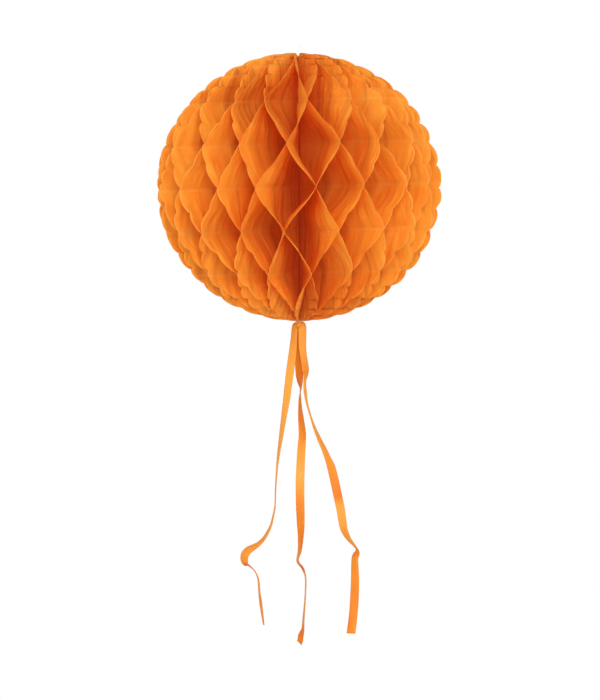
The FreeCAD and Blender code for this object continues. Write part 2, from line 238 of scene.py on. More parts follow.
def tissue_material():
    m = Nodes("tissue_paper")
    # sheet in metres: x = distance from the axis, y = height, z = the leaf's number
    sheet = m.attr("sheet", "Vector")
    edge = m.attr("edge")                        # 1 on the rim, 0 a few millimetres in
    glue = m.attr("glue")                        # 1 on a glue line
    leaf_apart = 40.0                            # keeps each leaf's noise its own
    even = (1.0, 1.0, leaf_apart)
    # soft cloudiness of the dye, and the crepe's own mottle
    cloud = m.noise(sheet, scale=34.0, detail=4.0, rough=0.6, stretch=even)
    fine = m.noise(sheet, scale=420.0, rough=0.65, stretch=even)
    base = m.ramp(cloud, [(0.30, TISSUE_DEEP), (0.52, TISSUE), (0.72, TISSUE_PALE)])
    base = m.mix(m.above(fine, level=0.5, gain=0.55, clamp=False), base, TISSUE_PALE)
    mottle = m.noise(sheet, scale=150.0, rough=0.62, stretch=(1.0, 0.8, leaf_apart))
    base = m.mix(m.below(mottle, level=0.52, gain=1.9), base, TISSUE_DEEP)
    base = m.mix(m.above(mottle, level=0.50, gain=1.6), base, TISSUE_PALE)
    # pleats between the glue lines, running up and down, in three widths
    broad = m.noise(sheet, detail=2.0, stretch=(62.0, 4.0, leaf_apart))
    wide = m.noise(sheet, detail=2.0, stretch=(130.0, 6.0, leaf_apart))
    narrow = m.noise(sheet, detail=2.0, rough=0.6, stretch=(290.0, 9.0, leaf_apart))
    broad_share, wide_share, narrow_share = 0.40, 0.35, 0.25
    streak = m.math("MULTIPLY", narrow, narrow_share)
    streak = m.math("MULTIPLY_ADD", wide, wide_share, streak)
    streak = m.math("MULTIPLY_ADD", broad, broad_share, streak)
    radius = m.add("SeparateXYZ", Vector=sheet).outputs[0]
    # painted shade in the pleats' creases, strongest deep in and fading out over the last 50 mm
    # towards the rim
    fade_end, fade_length = 0.146, 0.050         # metres from the axis
    crease_shade_gain, crease_shade_least = 0.66, 0.15
    within = m.math("DIVIDE", m.math("SUBTRACT", fade_end, radius), fade_length, clamp=True)
    crease_shade = m.math("MULTIPLY", m.below(streak, level=0.505, gain=7.0),
                    m.math("MULTIPLY_ADD", within, crease_shade_gain, crease_shade_least))
    base = m.mix(crease_shade, base, TISSUE_PAINTED_CREASE_SHADE)
    # painted shade: further in, the paper is painted darker and redder, standing in for the light
    # lost through the sheets in front
    inward = m.attr("inward")                    # millimetres in from the rim, over 100
    painted_depth_shade = m.ramp(inward, [(0.12, (1.0, 1.0, 1.0)), (0.45, (1.0, 0.985, 0.985)),
                           (0.95, (0.975, 0.945, 0.95))])
    base = m.mix(1.0, base, painted_depth_shade, blend="MULTIPLY")
    # painted highlight: the cut rim is painted paler, standing in for light caught along the rim;
    # the glue lines are painted paler too
    rim_highlight_share, glue_share = 0.75, 0.35
    base = m.mix(m.math("MULTIPLY", edge, rim_highlight_share), base, TISSUE_RIM_HIGHLIGHT_AND_GLUE)
    base = m.mix(m.math("MULTIPLY", glue, glue_share), base, TISSUE_RIM_HIGHLIGHT_AND_GLUE)
    fibre = m.noise(sheet, scale=900.0, detail=2.0, rough=0.5, stretch=even)
    normal = m.bump(streak, strength=0.75, distance=0.0016)
    normal = m.bump(fibre, strength=0.10, distance=0.0002, Normal=normal)
    surface = m.thin_sheet(base, normal, translucent=0.40, rough=0.82, through=TISSUE_THROUGH)
    # painted glow: deep between the leaves the paper emits light, standing in for light passed on
    # from sheet to sheet
    painted_glow_radius = 0.135                          # metres; no extra glow beyond it
    streak_gain, streak_least = 1.2, 0.4
    deep = m.math("SUBTRACT", 1.0, m.math("DIVIDE", radius, painted_glow_radius), clamp=True)
    painted_glow = m.math("MULTIPLY", deep,
                  m.math("MULTIPLY_ADD", streak, streak_gain, streak_least))
    painted_glow = m.math("MULTIPLY_ADD", painted_glow, PAINTED_GLOW, PAINTED_GLOW * 0.10)
    painted_glow_shader = m.add("Emission", Color=PAINTED_GLOW_COLOUR, Strength=painted_glow)
    return m.finish(m.join("AddShader", surface, painted_glow_shader.outputs[0]))


def ribbon_material():
    m = Nodes("paper_ribbon")
    # sheet in metres: x = across, y = along, z = the ribbon's number
    sheet = m.attr("sheet", "Vector")
    grain = m.noise(sheet, detail=2.0, rough=0.5, stretch=(700.0, 9.0, 60.0))
    cloud = m.noise(sheet, rough=0.5, stretch=(60.0, 24.0, 60.0))
    base = m.ramp(cloud, [(0.32, RIBBON_DEEP), (0.55, RIBBON), (0.78, RIBBON_PALE)])
    base = m.mix(m.below(grain, level=0.52, gain=1.3), base, RIBBON_DEEP)
    # painted light and shade along the ribbon, where its twist turns it towards or away from the
    # light: above 0 is lighter, below 0 darker
    painted_shading = m.attr("painted_shading")
    base = m.mix(m.math("MAXIMUM", painted_shading, 0.0), base, RIBBON_PAINTED_LIGHT)
    base = m.mix(m.math("MAXIMUM", m.math("MULTIPLY", painted_shading, -1.0), 0.0), base, RIBBON_PAINTED_SHADE)
    normal = m.bump(grain, strength=0.20, distance=0.0003)
    return m.finish(m.thin_sheet(base, normal, translucent=0.20, rough=0.5, through=base))


def card_material():
    m = Nodes("dyed_card")
    where = m.place()
    fibre = m.noise(where, scale=700.0, detail=4.0, rough=0.6, stretch=(1.0, 1.0, 3.0))
    cloud = m.noise(where, scale=26.0, rough=0.5)
    base = m.ramp(cloud, [(0.3, srgb(204, 98, 28)), (0.6, srgb(226, 118, 38)),
                          (0.8, srgb(236, 138, 58))])
    fibre_share = 0.25
    base = m.mix(m.math("MULTIPLY", fibre, fibre_share), base, srgb(240, 160, 90))
    return m.solid(base, rough=0.86, normal=m.bump(fibre, strength=0.25, distance=0.0002))


def tape_material():
    m = Nodes("adhesive_pad")
    haze = m.noise(m.place(), scale=300.0, rough=0.6)
    base = m.ramp(haze, [(0.3, srgb(222, 216, 198)), (0.7, srgb(240, 236, 224))])
    return m.solid(base, rough=0.35, normal=m.bump(haze, strength=0.2, distance=0.0001))


def thread_material(name, dark, middle, light, fuzz_colour):
    m = Nodes(name)
    where = m.place()
    wave = m.add("TexWave", Vector=m.mapping(where, (1.0, 1.0, 1.0)), Scale=520.0,
                 Distortion=3.0, bands_direction="DIAGONAL").outputs["Fac"]
    fuzz = m.noise(where, scale=1800.0, rough=0.6)
    base = m.ramp(wave, [(0.1, srgb(*dark)), (0.6, srgb(*middle)), (0.95, srgb(*light))])
    fuzz_share = 0.3
    base = m.mix(m.math("MULTIPLY", fuzz, fuzz_share), base, srgb(*fuzz_colour))
    return m.solid(base, rough=0.9, normal=m.bump(wave, strength=0.5, distance=0.0001))


def filament_material():
    m = Nodes("clear_filament")
    haze = m.noise(m.place(), scale=900.0, detail=2.0, rough=0.5)
    clear = m.add("BsdfTransparent", Color=(0.97, 0.98, 0.99, 1.0))
    tint = m.ramp(haze, [(0.3, (0.80, 0.83, 0.86)), (0.7, (0.92, 0.94, 0.96))])
    gloss = m.add("BsdfPrincipled", Roughness=0.12, Base_Color=tint)
    return m.finish(m.join("MixShader", clear.outputs[0], gloss.outputs[0], Fac=0.10))


TISSUE_MAT = tissue_material()
RIBBON_MAT = ribbon_material()
CARD_MAT = card_material()
TAPE_MAT = tape_material()
THREAD_MAT = thread_material("cotton_thread", dark=(196, 92, 26), middle=(238, 132, 46),
                             light=(248, 164, 84), fuzz_colour=(250, 180, 110))
# painted shade: the spine thread is coloured dark red-brown to match the shaded core deep between
# the leaves
SPINE_PAINTED_SHADE_MAT = thread_material("spine_thread", dark=(150, 44, 16), middle=(176, 58, 22),
                            light=(196, 72, 28), fuzz_colour=(200, 84, 40))
FILAMENT_MAT = filament_material()


# ------------------------------------------------------------------ mesh helpers
def add_object(name, mesh, material, smooth=True):
    mesh.materials.append(material)
    if smooth:
        mesh.polygons.foreach_set("use_smooth", np.ones(len(mesh.polygons), bool))
    mesh.update()
    obj = bpy.data.objects.new(name, mesh)
    bpy.context.scene.collection.objects.link(obj)
    return obj


def sheet_quads(rows, columns):
    """Quads of a closed thin sheet: one face's grid, the other's after it, and four sides."""
    count = rows * columns
    index = np.arange(count).reshape(rows, columns)
    a, b, c, d = index[:-1, :-1], index[:-1, 1:], index[1:, 1:], index[1:, :-1]
    first = np.stack([a, b, c, d], -1).reshape(-1, 4)
    second = np.stack([a, d, c, b], -1).reshape(-1, 4) + count

    def side(line):
        start, end = line[:-1], line[1:]
        return np.stack([end, start, start + count, end + count], -1)

    edges = (index[0, :], index[:, -1], index[-1, ::-1], index[::-1, 0])
    return np.concatenate([first, second] + [side(edge) for edge in edges])


def make_sheet(name, middle, normal, thickness, material):
    """A sheet of even thickness about a grid of points; also gives its vertices in metres."""
    faces = [middle + normal * thickness / 2, middle - normal * thickness / 2]
    verts = np.concatenate([face.reshape(-1, 3) for face in faces]) * MM
    verts[:, 2] += CZ
    quads = np.asarray(sheet_quads(*middle.shape[:2]), np.int32)
    mesh = bpy.data.meshes.new(name)
    mesh.vertices.add(len(verts))
    mesh.vertices.foreach_set("co", np.asarray(verts, np.float32).ravel())
    mesh.loops.add(quads.size)
    mesh.loops.foreach_set("vertex_index", quads.ravel())
    mesh.polygons.add(len(quads))
    mesh.polygons.foreach_set("loop_start", np.arange(0, quads.size, 4, dtype=np.int32))
    mesh.update(calc_edges=True)
    mesh.validate()
    return add_object(name, mesh, material), verts


def give(obj, name, *parts):
    """A point attribute from grids of values: one grid makes a float, three a vector."""
    values = np.stack([np.tile(part.reshape(-1), 2) for part in parts], -1)
    vector = len(parts) == 3
    attribute = obj.data.attributes.new(name, "FLOAT_VECTOR" if vector else "FLOAT", "POINT")
    attribute.data.foreach_set("vector" if vector else "value",
                               values.astype(np.float32).ravel())


# ------------------------------------------------------------------ the rim of a leaf
def scallop_drift(angle, leaf):
    """Degrees by which a leaf's scallops stand off their even spacing."""
    rng = np.random.default_rng(7000 + leaf)
    drift = np.zeros_like(angle)
    for waves in (1.0, 2.0, 3.0, 5.0):
        size, start = rng.normal(0, 0.75), rng.uniform(0, 2 * np.pi)
        drift = drift + size * np.sin(np.radians(angle) * waves * 2 + start)
    return drift * np.sin(np.radians(angle)) ** 0.8


def rim_point(angle, leaf):
    """Radius and height of a leaf's rim at a scallop angle, in degrees from the top pole."""
    angle = np.asarray(angle, float)
    rng = np.random.default_rng(9000 + leaf)
    depths = rng.uniform(0.72, 1.18, SCALLOPS + 2)
    polar = np.radians(np.clip(angle + scallop_drift(angle, leaf), 0.01, 179.99))
    ellipse = 1.0 / np.sqrt((np.sin(polar) / BALL_R) ** 2 + (np.cos(polar) / BALL_H) ** 2)
    from_pole = np.minimum(angle, 180 - angle)
    # the scallops are shallower near the poles
    depth = SCALLOP_DEPTH * (0.50 + 0.50 * np.clip((from_pole - 12.0) / 40.0, 0, 1))
    across_cap = 2 * from_pole / CAP_ARC - 1
    pole_dip = np.where(angle < 90, TOP_DIP, BOTTOM_DIP)
    cap_dip = np.where(across_cap < 0, pole_dip, depth) * across_cap**2
    # rounder bumps with a sharper notch than a parabola; each notch has its own depth
    along = (angle - CAP_ARC) / SCALLOP_ARC
    across = 2 * (along % 1.0) - 1
    index = np.clip((along + 0.001).astype(int) + 1, 0, SCALLOPS + 1)
    beside = np.clip(index + np.where(across < 0, -1, 1), 0, SCALLOPS + 1)
    share = (depths[index] + depths[beside]) / 2
    scallop_dip = depth * share * (0.55 * across**2 + 0.45 * np.abs(across) ** 3.2)
    reach = ellipse - np.where(from_pole < CAP_ARC, cap_dip, scallop_dip)
    r, z = reach * np.sin(polar), reach * np.cos(polar)
    # the notch round the top of the thread; the front and back leaves sink towards it
    ahead = abs(math.cos(math.radians((PLANES[leaf - 1] + PLANES[leaf]) / 2)))
    notch = 4.6 * np.clip(1 - r / 3.6, 0, 1) ** 1.2
    hollow = 6.0 * ahead**6 * np.clip(1 - r / 45.0, 0, 1) ** 1.5 * np.clip(r / 3.0, 0.25, 1)
    return r, np.where(angle < 90, z - (notch + hollow), z)


SCAN = np.linspace(0.5, 179.5, 14321)            # fine scallop angles, to find heights on the rim


@cache
def scan_heights(leaf):
    return rim_point(SCAN, leaf)[1]


def crossing(height, leaf):
    """The scallop angle where a leaf's rim stands at a height."""
    z = scan_heights(leaf)
    hits = np.where((z[:-1] > height) & (z[1:] <= height))[0]
    i = hits[-1] if height > 0 else hits[0]
    share = (z[i] - height) / (z[i] - z[i + 1])
    return float(SCAN[i] + share * (SCAN[i + 1] - SCAN[i]))


def glue_height(level, leaf):
    """Height on the rim of a leaf's glue line; at the core it is level times the pitch."""
    plane = leaf if leaf % 2 == level % 2 else leaf - 1
    radius = BALL_R * math.sqrt(max(0.0, 1 - (level * PITCH / BALL_H) ** 2)) - 2.0
    return level * PITCH + TILT * radius * math.sin(math.radians(PLANES[plane]))


# ------------------------------------------------------------------ the grid of a leaf
ROWS_PER_SCALLOP = 9
CAP_ROWS = (0.3, 0.5, 0.7, 0.85)                 # rows in each cap, as shares of its arc
ROW_APART = 0.28                                 # least angle from a glue row to an even row
# distance in from the rim of each column: close at the rim, then even, then wide near the core
COLUMNS = np.concatenate([
    [0.0, 0.35, 0.9, 1.7, 2.8, 4.2],
    np.arange(6.0, 106.0, 1.9),
    np.linspace(108.5, 147.0, 9),
])
INWARD = COLUMNS / COLUMNS[-1]
COLUMN_COUNT = len(INWARD)


def leaf_rows(leaf, core):
    """Scallop angle, height at the core and glue phase of each row of the grid."""
    glued = []                                   # the same three, for rows about the glue lines
    for level in range(-3, 4):
        for d in (2.6, GLUE, 0.0, -GLUE, -2.6):
            angle = crossing(glue_height(level, leaf) + d, leaf)
            glued.append((angle, level * PITCH + d, level + d / PITCH))
    fixed = [row[0] for row in glued]
    even = [CAP_ARC + SCALLOP_ARC * i / ROWS_PER_SCALLOP
            for i in range(SCALLOPS * ROWS_PER_SCALLOP + 1)]
    even += [CAP_ARC * f for f in CAP_ROWS] + [180 - CAP_ARC * f for f in CAP_ROWS]
    even = [angle for angle in even if min(abs(angle - f) for f in fixed) > ROW_APART]
    first = math.degrees(math.asin((core + 0.2) / 137.0))
    last = 180 - first
    angles = np.array([first] + [a for a in sorted(even + fixed) if first < a < last] + [last])
    z = rim_point(angles, leaf)[1]
    low, top = float(z.min()) - 0.2, float(z.max()) + 0.2
    # both are linear in the rim's height between the glue rows
    angle_at, core_at, phase_at = np.array(glued).T
    rim_at = rim_point(angle_at, leaf)[1]
    order = np.argsort(rim_at)
    known = np.array([low, *rim_at[order], top])
    core_z = np.interp(z, known, [low, *core_at[order], top])
    phase = np.interp(z, known, [low / PITCH, *phase_at[order], top / PITCH])
    return angles, core_z, phase


def node_drift(plane, level):
    """Degrees by which a glue node on the rim stands off its plane."""
    if plane in (0, LEAVES) or abs(level) > 3:
        return 0.0
    if (plane - level) % 2:
        # no glue here: halfway between the levels above and below
        return (node_drift(plane, level - 1) + node_drift(plane, level + 1)) / 2
    rng = np.random.default_rng(300 + 40 * plane + level)
    return float(rng.uniform(-NODE_SCATTER, NODE_SCATTER))


def plane_azimuth(plane, phase, outward):
    """Azimuth of a glue plane along the sheet: its nodes wander from level to level."""
    levels = list(range(-4, 5))
    drifts = [node_drift(plane, level) for level in levels]
    return PLANES[plane] + np.interp(phase, levels, drifts) * outward


def paper_relief(rng, R, Z, cell, rise, opening):
    """Bow as a share of the wedge, then ripples and pleats, between each two glue lines."""
    bow, ripple, pleat = (np.zeros_like(rise) for _ in range(3))
    for level in range(-4, 4):
        here = cell == level
        single = rng.uniform(-0.05, 0.05)
        skew = rng.uniform(-0.5, 0.5)
        double = rng.uniform(-0.03, 0.03)
        arch = single * (1 + skew * (rise - 0.5)) + double * np.sin(2 * np.pi * rise)
        bow += np.where(here, arch * opening, 0)
        waves = np.zeros_like(rise)
        for length, weight in RIPPLE_WAVES:
            start, lean = rng.uniform(0, 2 * np.pi), rng.uniform(-0.16, 0.16)
            length *= rng.uniform(0.85, 1.15)
            waves += weight * np.sin(2 * np.pi * (R + lean * Z) / length + start)
        ripple += np.where(here, waves * opening ** 0.8, 0)
        # fine crushed pleats, each running from one glue line to the next
        kink = rng.normal(0, 1, COLUMN_COUNT + 4)
        kink = kink[1:-3] * 0.45 + kink[2:-2] - kink[3:-1] * 0.55
        kink[:3] *= 0.2
        lean = rng.uniform(-0.8, 0.8)
        pleat += np.where(here, kink * opening ** 0.7 * (1 + lean * (rise - 0.5)), 0)
    return bow, ripple, pleat


def rim_curl(rng, angles, Z, rim_mm, cell, opening):
    """Sideways curl of the free rim between glue lines, weaker towards the poles."""
    start = rng.uniform(0, 2 * np.pi)
    side = rng.choice([-1.0, 1.0], 10)[np.clip(cell + 5, 0, 9)]
    turn = side * (0.75 + 0.25 * np.sin(angles * 0.53 + 2 * start)[:, None])
    fade = np.clip((BALL_H - 14 - np.abs(Z)) / 20.0, 0.1, 1)
    return turn * np.exp(-rim_mm / 5.0) * CURL * opening * fade


def sheet_normal(middle, toward):
    """Unit normals of a grid of points, on the side that a direction points to."""
    normal = np.cross(np.gradient(middle, axis=1), np.gradient(middle, axis=0))
    normal /= np.maximum(np.linalg.norm(normal, axis=-1, keepdims=True), 1e-9)
    side = np.sign((normal * toward).sum(-1, keepdims=True))
    return normal * np.where(side == 0, 1, side)


def leaf_grid(leaf):
    """Radius, height, depth from the rim, place between glue lines, azimuth, points, normals."""
    rng = np.random.default_rng(1000 + leaf)
    core = END_CORE_R if leaf in (1, LEAVES) else CORE_R
    angles, core_z, phase = leaf_rows(leaf, core)
    rim_r, rim_z = rim_point(angles, leaf)
    rim_r = np.maximum(rim_r, core + 0.05)
    s = INWARD[None, :]                          # 0 at the rim, 1 at the core
    R = rim_r[:, None] * (1 - s) + core * s
    Z = rim_z[:, None] * (1 - s) + core_z[:, None] * s
    rim_mm = s * np.hypot(rim_r - core, rim_z - core_z)[:, None]

    # across the wedge: 0 on plane leaf - 1, 1 on plane leaf
    phase = np.repeat(phase[:, None], COLUMN_COUNT, axis=1)
    cell = np.floor(phase + 1e-6).astype(int)
    between = np.clip(phase - cell, 0.0, 1.0)
    glue_share = GLUE / PITCH
    rise = np.clip((between - glue_share) / (1 - 2 * glue_share), 0, 1)
    opening = np.sin(np.pi * rise)
    ease = rise - EASE / (2 * np.pi) * np.sin(2 * np.pi * rise)
    wave = np.where(cell % 2 == 0, ease, 1 - ease)         # 0 on even levels
    across = wave if leaf % 2 == 1 else 1 - wave

    # the paper between two glue lines isn't flat: it bows, ripples and pleats
    reach = np.clip((R - core) / (BALL_R - core), 0, 1)
    bow, ripple, pleat = paper_relief(rng, R, Z, cell, rise, opening)
    curl = rim_curl(rng, angles, Z, rim_mm, cell, opening)
    across = np.clip(across + bow * (0.35 + 0.65 * reach), 0, 1)
    aside = ripple * RIPPLE * (0.25 + 0.75 * reach) + pleat * PLEAT * (0.3 + 0.7 * reach) + curl
    aside = aside * np.clip(R / 25.0, 0, 1)
    # each leaf keeps its own place in the stack, so the closed fan fits between the two boards
    stack = (CARD + 0.18) * (1 - 2 * (leaf - 1) / (LEAVES - 1))
    shift = LEAF_GAP * (1 - 2 * across) + stack

    outward = np.clip(R / BALL_R, 0, 1) ** 0.7
    azimuth = (plane_azimuth(leaf - 1, phase, outward) * (1 - across)
               + plane_azimuth(leaf, phase, outward) * across)
    # the leaves don't stand quite radially: all of them swirl a little half way in
    swirl = 4.4 * np.sin(Z / 21.0 + 0.6) + 1.8 * np.sin(Z / 10.0 + 2.0)
    inside = np.sin(np.pi * np.clip(1 - s, 0, 1)) ** 1.3
    facing = ((1 + np.cos(np.radians(azimuth - FRONT))) / 2) ** 0.7
    azimuth = azimuth + swirl * inside * facing
    # ripples turn with the fold, so that they press flat when it closes
    azimuth = azimuth + np.degrees(np.arctan2(aside, np.maximum(R, 2.0)))
    # the thread comes out a little to the left at the top
    pull = -3.4 * np.clip((Z - 92) / 44.0, 0, 1) ** 2 * np.exp(-((R / 42.0) ** 2))
    R = np.maximum(R + pull * np.sin(np.radians(azimuth)), 0.6)
    sideways = pull * np.cos(np.radians(azimuth)) / np.maximum(R, 6.0)
    azimuth = azimuth + np.degrees(np.clip(sideways, -0.45, 0.45))

    sine, cosine = np.sin(np.radians(azimuth)), np.cos(np.radians(azimuth))
    flat = np.zeros_like(sine)
    radial = np.stack([sine, -cosine, flat], -1)
    tangent = np.stack([cosine, sine, flat], -1)
    middle = radial * R[..., None] + tangent * shift[..., None]
    middle[..., 2] = Z
    return R, Z, rim_mm, between, azimuth, middle, sheet_normal(middle, tangent)


def make_leaf(leaf):
    R, Z, rim_mm, between, azimuth, middle, normal = leaf_grid(leaf)
    obj, _ = make_sheet("leaf_paper_%02d" % leaf, middle, normal, SHEET_T, TISSUE_MAT)
    glue_mm = np.minimum(between, 1 - between) * PITCH
    give(obj, "sheet", R * MM, Z * MM, np.full(R.shape, float(leaf)))
    give(obj, "edge", np.exp(-((rim_mm / 1.1) ** 2)))
    give(obj, "glue", np.exp(-((glue_mm / 0.8) ** 2)))
    give(obj, "inward", rim_mm / 100.0)
    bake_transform(obj)
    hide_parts("tissue_leaf_%02d" % leaf)


for leaf in range(1, LEAVES + 1):
    make_leaf(leaf)


# ------------------------------------------------------------------ the ribbons
RIBBON_W, RIBBON_T, NECK_W = 9.2, 0.14, 4.0
STEPS = 6                                        # mesh rows from one station to the next
RIBBON_COLUMNS = 11
# stations down each ribbon: x, y, z, turn of its width in degrees
RIBBON_PATHS = {
    "ribbon_left": [
        (-1.1, 0, -141.2, 0), (-1.1, 0, -144.9, 0), (-4.6, -1.5, -147.9, 40),
        (-5.6, -2.4, -155.8, 45), (-6.9, -3, -171.6, 33), (-9.4, -3.4, -191.6, 24),
        (-11.6, -3.6, -208.6, 31), (-13.3, -3.6, -222.4, 36), (-16, -3.6, -240.1, 49),
        (-19.6, -3.4, -264.4, 62), (-23.1, -3.2, -288.6, 74), (-24.6, -3, -306.9, 81),
        (-25.4, -2.8, -321.6, 84), (-25.7, -2.8, -333.3, 84), (-26.5, -2.8, -340.7, 82),
        (-29.8, -3, -355.4, 77), (-32.8, -3.2, -362.8, 73), (-37, -3.6, -370.2, 69),
        (-42.6, -4.2, -376.4, 63), (-48.8, -4.8, -380.6, 50), (-54.5, -5.4, -384.2, 32),
        (-57.9, -5.8, -389.2, 23), (-58.2, -5.9, -395.1, 34), (-56.6, -5.4, -399.2, 57),
        (-53.7, -4.6, -400.2, 75), (-49.9, -4.2, -403.3, 79), (-46.8, -4, -407, 81),
        (-44.4, -4, -412.5, 79), (-43.3, -4, -418.8, 77), (-42.6, -4, -429.7, 75),
        (-41.6, -4, -436.8, 70), (-40.7, -4, -444.6, 70), (-38.6, -4, -459.4, 78),
        (-37.9, -4, -463.5, 84),
    ],
    "ribbon_centre": [
        (0, 1, -141.2, 0), (0, 1, -144.9, 0), (-0.4, 2.7, -147.9, 18), (-0.4, 3.8, -166.4, 14),
        (-0.2, 4.4, -184.3, 20), (0.1, 4.8, -197, 30), (0.6, 5, -205.5, 50),
        (1.1, 5, -212.8, 78), (0.4, 5, -222.4, 105), (0.7, 5, -232.9, 115),
        (1.3, 5, -240.3, 125), (3, 5, -257.2, 143), (3.2, 5, -264.6, 148),
        (2.1, 4.9, -279.4, 159), (1.3, 4.8, -296.3, 168), (0.9, 4.6, -311.1, 179),
        (1, 4.4, -333.3, 188), (1.7, 4.3, -355.4, 207), (1.8, 4.2, -370.2, 228),
        (0.9, 4.2, -385, 244), (-1, 4, -392.7, 254), (-0.8, 3.8, -397.7, 250),
        (3.2, 3.6, -402.6, 250), (5.5, 3.5, -407.5, 254), (7.2, 3.4, -414.6, 262),
        (7, 3.4, -429.4, 264), (6.1, 3.4, -444.2, 261), (4.9, 3.5, -459, 257),
        (4.2, 3.7, -469.5, 251), (2, 3.8, -475.9, 233), (1.2, 3.9, -481.1, 231),
        (-0.1, 4, -485.4, 236),
    ],
    "ribbon_right": [
        (1.1, -1, -141.2, 0), (1.1, -1, -144.9, 0), (3.2, -1.9, -147.9, -18),
        (3.6, -1.6, -166.4, -32), (4.6, -1.8, -176.9, -40), (6.8, -2, -190.7, -40),
        (7.2, -2, -197, -55), (6.2, -2, -205.5, -71), (6.7, -2, -216, -69),
        (8.7, -2.1, -228.2, -77), (12, -2.2, -240.1, -80), (16, -2.4, -252.4, -73),
        (21.1, -2.7, -265.1, -63), (26.5, -3.1, -276.8, -55), (30.3, -3.4, -286.3, -44),
        (34, -3.8, -296.3, -20), (37.6, -4.2, -311.1, -4), (40.8, -4.5, -325.9, 2),
        (43.9, -4.5, -340.7, 10), (46.1, -4.4, -355.4, 24), (47.8, -4.3, -362.8, 36),
        (51.4, -4.2, -370.4, 52), (55.1, -4.1, -375.5, 62), (58.6, -4, -379.7, 71),
        (61, -4, -383.4, 71), (61, -4.1, -386.6, 54), (59.5, -4.2, -390.3, 42),
        (58.8, -4.3, -395.6, 39), (59.1, -4.6, -414.6, 21), (58.7, -4.8, -429.4, 12),
        (57.9, -5, -444.2, 8), (56.5, -5, -459.4, 3), (54.8, -5, -472.9, 0),
    ],
}
# z and the painted shading, from -1 darkest to 1 lightest
RIBBON_PAINTED_SHADING = {
    "ribbon_left": [
        (-140, 0.5), (-166, 0.55), (-199, 0.9), (-277, 0.85), (-309, 0.7), (-362, 0.75),
        (-377, 0.6), (-385, 0.15), (-396, 0.05), (-399, -0.8), (-401.5, -0.8), (-404, 0.5),
        (-425, 0.45), (-440, 0.1), (-463, 0.3),
    ],
    "ribbon_centre": [
        (-140, -0.1), (-174, 0.0), (-208, -0.3), (-220, 0.6), (-229, 0.4), (-246, 0.05),
        (-267, 0.2), (-279, 0.6), (-305, 0.95), (-315, 0.7), (-327, 0.15), (-351, -0.1),
        (-378, 0.1), (-391, 0.4), (-398, 0.3), (-402, -0.9), (-406, -0.8), (-409, 0.8),
        (-436, 0.9), (-461, 0.4), (-472, -0.4), (-484, 0),
    ],
    "ribbon_right": [
        (-140, 0.55), (-172, 0.65), (-189, 0.35), (-196, 0.1), (-208, 0.8), (-235, 0.9),
        (-267, 0.6), (-284, 0.45), (-294, 0.15), (-327, 0), (-336, 0.7), (-349, 0.75),
        (-362, 0.5), (-378, 0.6), (-385, -0.1), (-393, 0.15), (-415, 0.05), (-478, 0),
    ],
}
# slant of the last cut; its sign picks the shorter edge
RIBBON_SLANTS = {"ribbon_left": -1.4, "ribbon_centre": 2.4, "ribbon_right": 0.7}


def spline(stations):
    """A Catmull-Rom curve through the stations."""
    t = np.array(stations, float)
    last = len(t) - 1
    points = []
    for i in range(last):
        a, b, c, d = t[max(i - 1, 0)], t[i], t[i + 1], t[min(i + 2, last)]
        for step in range(STEPS):
            u = step / STEPS
            points.append(0.5 * (2 * b + (c - a) * u + (2 * a - 5 * b + 4 * c - d) * u * u
                                 + (3 * b - a - 3 * c + d) * u**3))
    points.append(t[-1])
    return np.array(points)


def unit(vectors):
    return vectors / np.linalg.norm(vectors, axis=1, keepdims=True)


def make_ribbon(name, number):
    stations = spline(RIBBON_PATHS[name])
    path, turn = stations[:, :3], np.radians(stations[:, 3])
    along = unit(np.gradient(path, axis=0))
    depth = unit(np.array([0.0, 1.0, 0.0]) - along * along[:, 1:2])
    across = -np.cross(along, depth)
    width = across * np.cos(turn)[:, None] + depth * np.sin(turn)[:, None]
    normal = unit(np.cross(width, along))
    lengths = np.linalg.norm(np.diff(path, axis=0), axis=1)
    run = np.concatenate([[0], np.cumsum(lengths)])
    # gathered in the tie, then spreading to the full width
    spread = np.clip((np.arange(len(path)) / STEPS - 0.2) / 1.5, 0, 1)
    spread = spread * spread * (3 - 2 * spread)
    half = (NECK_W + (RIBBON_W - NECK_W) * spread) / 2
    # the width cups gently, and more where the ribbon is edge-on to the front
    rng = np.random.default_rng(50 + number)
    cup = 0.28 * np.sin(run / 46.0 + rng.uniform(0, 6))
    cup = cup + 0.14 * np.sin(run / 17.0 + rng.uniform(0, 6))
    edge_on = 1 - np.abs(np.cos(turn))
    cup_side = -1.0 if cup[0] < 0 else 1.0
    cup = cup * (1 - edge_on) + cup_side * (0.25 + 0.85 * edge_on**2)
    v = np.linspace(-1, 1, RIBBON_COLUMNS)
    lift = cup[:, None] * (v**2 - 0.4) * spread[:, None]
    # gathers in the neck
    lift += (1 - spread)[:, None] * 0.25 * np.sin(v * 7.0)
    aside = v * half[:, None]
    middle = path[:, None] + width[:, None] * aside[..., None] + normal[:, None] * lift[..., None]
    # the slanted cut draws back the last three rows, the end row most
    slant = RIBBON_SLANTS[name]
    for row, share in ((-1, 1.0), (-2, 0.55), (-3, 0.25)):
        middle[row] += along[row] * (slant * v[:, None] - abs(slant)) * share / 2
    obj, verts = make_sheet(name + "_paper", middle, normal[:, None], RIBBON_T, RIBBON_MAT)
    down = np.repeat(run[:, None], RIBBON_COLUMNS, axis=1)
    give(obj, "sheet", aside * MM, down * MM, np.full(aside.shape, float(number)))
    # painted light and shade down the ribbon's length
    painted_z, painted_levels = np.array(RIBBON_PAINTED_SHADING[name], float).T
    painted_shading = np.interp(-path[:, 2], -painted_z, painted_levels)
    give(obj, "painted_shading", np.repeat(painted_shading, RIBBON_COLUMNS))
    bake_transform(obj)
    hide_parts(name)


for number, name in enumerate(RIBBON_PATHS):
    make_ribbon(name, number)


